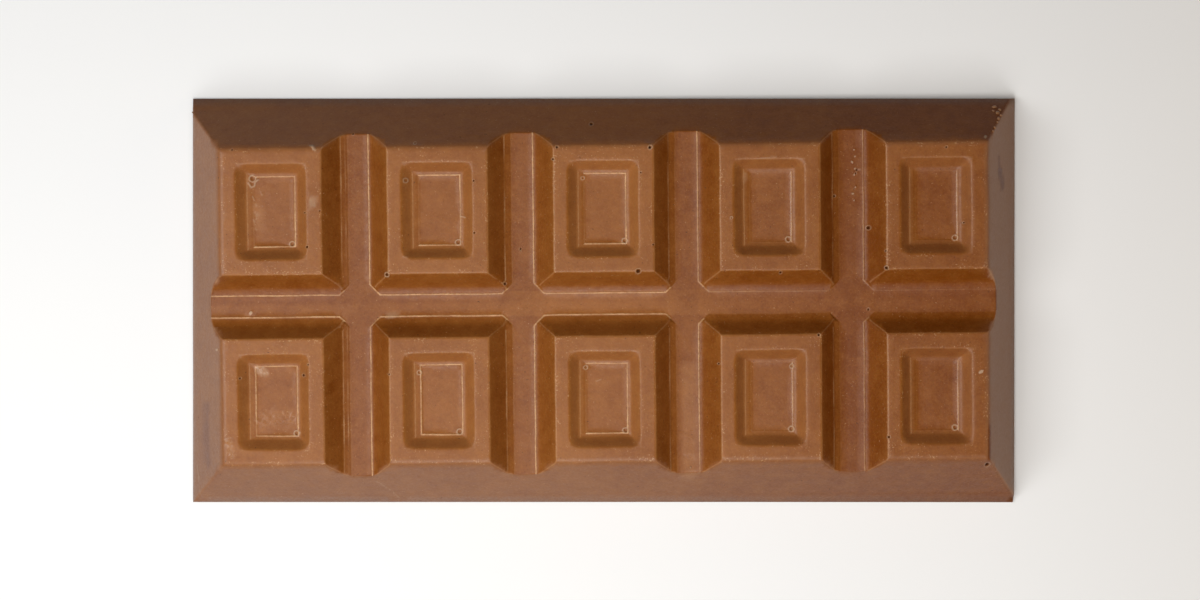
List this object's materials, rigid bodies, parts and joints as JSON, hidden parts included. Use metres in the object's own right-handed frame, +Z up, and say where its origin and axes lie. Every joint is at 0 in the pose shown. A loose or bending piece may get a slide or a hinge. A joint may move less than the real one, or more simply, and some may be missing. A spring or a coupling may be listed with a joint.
{
  "type": "chocolate bar",
  "caption": "Moulded milk chocolate bar: sloping walls, break grooves between thick rectangular pieces, a shallow rectangular dish in each piece, and a flat back.",
  "frame": {"origin": "middle of the flat back, on the plane the bar rests on", "axes": "+X along the bar, +Y across it, +Z up out of the moulded face"},
  "size_m": [0.1562, 0.0768, 0.0141],
  "materials": {
    "milk_chocolate": "satin, as left by a polished mould"
  },
  "bodies": {
    "root": {"chocolate_bar": "milk_chocolate"}
  },
  "joints": []
}
